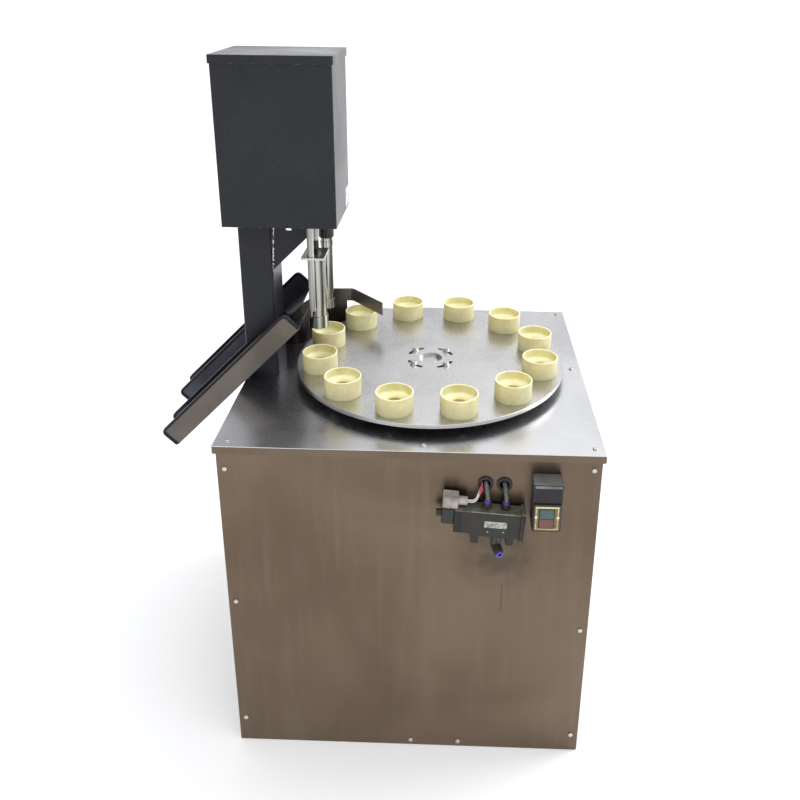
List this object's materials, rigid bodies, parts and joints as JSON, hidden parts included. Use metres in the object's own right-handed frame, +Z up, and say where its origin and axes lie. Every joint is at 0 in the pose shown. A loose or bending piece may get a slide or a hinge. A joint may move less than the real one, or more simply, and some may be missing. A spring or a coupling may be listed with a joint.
{
  "type": "rotary table cup machine",
  "caption": "Floor-standing rotary machine: sheet-metal cabinet, turntable of soft cup nests, column head with air-driven press tubes and side discharge chutes.",
  "frame": {"origin": "centre of the cabinet's footprint, on the floor", "axes": "+X to the operator's right, +Y to the back of the machine, +Z up"},
  "size_m": [0.8782, 0.7124, 1.351],
  "materials": {
    "stainless_panel": "satin sheet, brownish reflections",
    "stainless_lid": "satin sheet",
    "table_steel": "satin, turned and brushed",
    "frame_steel": "grey primer",
    "machined_steel": "machined",
    "housing_iron": "cast",
    "drive_paint": "machine enamel",
    "control_plastic": "moulded",
    "grey_paint": "dark grey metallic paint",
    "chute_steel": "dark sheet",
    "trim_rubber": "black edging",
    "tube_chrome": "polished tube",
    "cylinder_aluminium": "anodised",
    "nest_soft": "cast soft polymer",
    "fastener_steel": "zinc plated",
    "valve_metal": "dark anodised casting",
    "black_plastic": "moulded",
    "connector_plastic": "moulded with a metal gland",
    "fitting_body": "moulded",
    "ring_violet": "moulded",
    "tube_plastic": "grey air tube",
    "wire_plastic": "one red wire and one white",
    "bezel_yellow": "moulded",
    "button_green": "moulded",
    "button_red": "moulded"
  },
  "bodies": {
    "cabinet": {"front_panel": "stainless_panel", "left_panel": "stainless_panel", "right_panel": "stainless_panel", "back_panel": "stainless_panel", "lid": "stainless_lid", "cabinet_frame": "frame_steel", "base_plate": "frame_steel", "drive_plate": "frame_steel", "table_bearings": "machined_steel", "guide_rod": "machined_steel", "bearing_housing": "housing_iron", "reduction_gearbox": "drive_paint", "drive_motor": "drive_paint", "control_unit": "control_plastic", "column": "grey_paint", "column_gusset": "grey_paint", "head_base_plate": "grey_paint", "head_cover": "grey_paint", "head_lid": "grey_paint", "near_chute": "chute_steel", "far_chute": "chute_steel", "sweep_guard": "chute_steel", "chute_trims": "trim_rubber", "cable_entries": "trim_rubber", "front_cylinder": "cylinder_aluminium", "rear_cylinder": "cylinder_aluminium", "cabinet_fasteners": "fastener_steel", "valve_body": "valve_metal", "valve_coil": "black_plastic", "switch_box": "black_plastic", "valve_connector": "connector_plastic", "valve_fittings": "fitting_body", "release_rings": "ring_violet", "air_tubes": "tube_plastic", "valve_wires": "wire_plastic", "switch_bezel": "bezel_yellow"},
    "turntable": {"table_disc": "table_steel", "table_hub": "machined_steel", "table_shaft": "machined_steel", "table_gear": "machined_steel", "table_fasteners": "fastener_steel", "cup_nest_01": "nest_soft", "cup_nest_02": "nest_soft", "cup_nest_03": "nest_soft", "cup_nest_04": "nest_soft", "cup_nest_05": "nest_soft", "cup_nest_06": "nest_soft", "cup_nest_07": "nest_soft", "cup_nest_08": "nest_soft", "cup_nest_09": "nest_soft", "cup_nest_10": "nest_soft", "cup_nest_11": "nest_soft", "cup_nest_12": "nest_soft"},
    "pinion": {"drive_pinion": "machined_steel"},
    "front_press": {"front_press_tube": "tube_chrome", "front_piston_rod": "tube_chrome", "crosshead_plate": "machined_steel"},
    "rear_press": {"rear_press_rod": "tube_chrome"},
    "start_button": {"start_button": "button_green"},
    "stop_button": {"stop_button": "button_red"}
  },
  "joints": [
    {"name": "table_turn", "type": "hinge", "parent": "cabinet", "child": "turntable", "pos_m": [0.029, 0, 0.7], "axis": [0, 0, 1], "continuous": true},
    {"name": "pinion_turn", "type": "hinge", "parent": "cabinet", "child": "pinion", "pos_m": [0.179, 0, 0.68], "axis": [0, 0, 1], "continuous": true},
    {"name": "front_press_slide", "type": "slide", "parent": "cabinet", "child": "front_press", "axis": [0, 0, -1], "range_m": [0, 0.068]},
    {"name": "rear_press_slide", "type": "slide", "parent": "cabinet", "child": "rear_press", "axis": [0, 0, -1], "range_m": [0, 0.068]},
    {"name": "start_button_push", "type": "slide", "parent": "cabinet", "child": "start_button", "axis": [0, 1, 0], "range_m": [0, 0.003], "stiffness_N_per_m": 500, "springref_m": -0.002},
    {"name": "stop_button_push", "type": "slide", "parent": "cabinet", "child": "stop_button", "axis": [0, 1, 0], "range_m": [0, 0.003], "stiffness_N_per_m": 500, "springref_m": -0.002}
  ],
  "couplings": [
    {"joint": "pinion_turn", "follows": "table_turn", "ratio": -4},
    {"joint": "rear_press_slide", "follows": "front_press_slide", "ratio": 1}
  ]
}
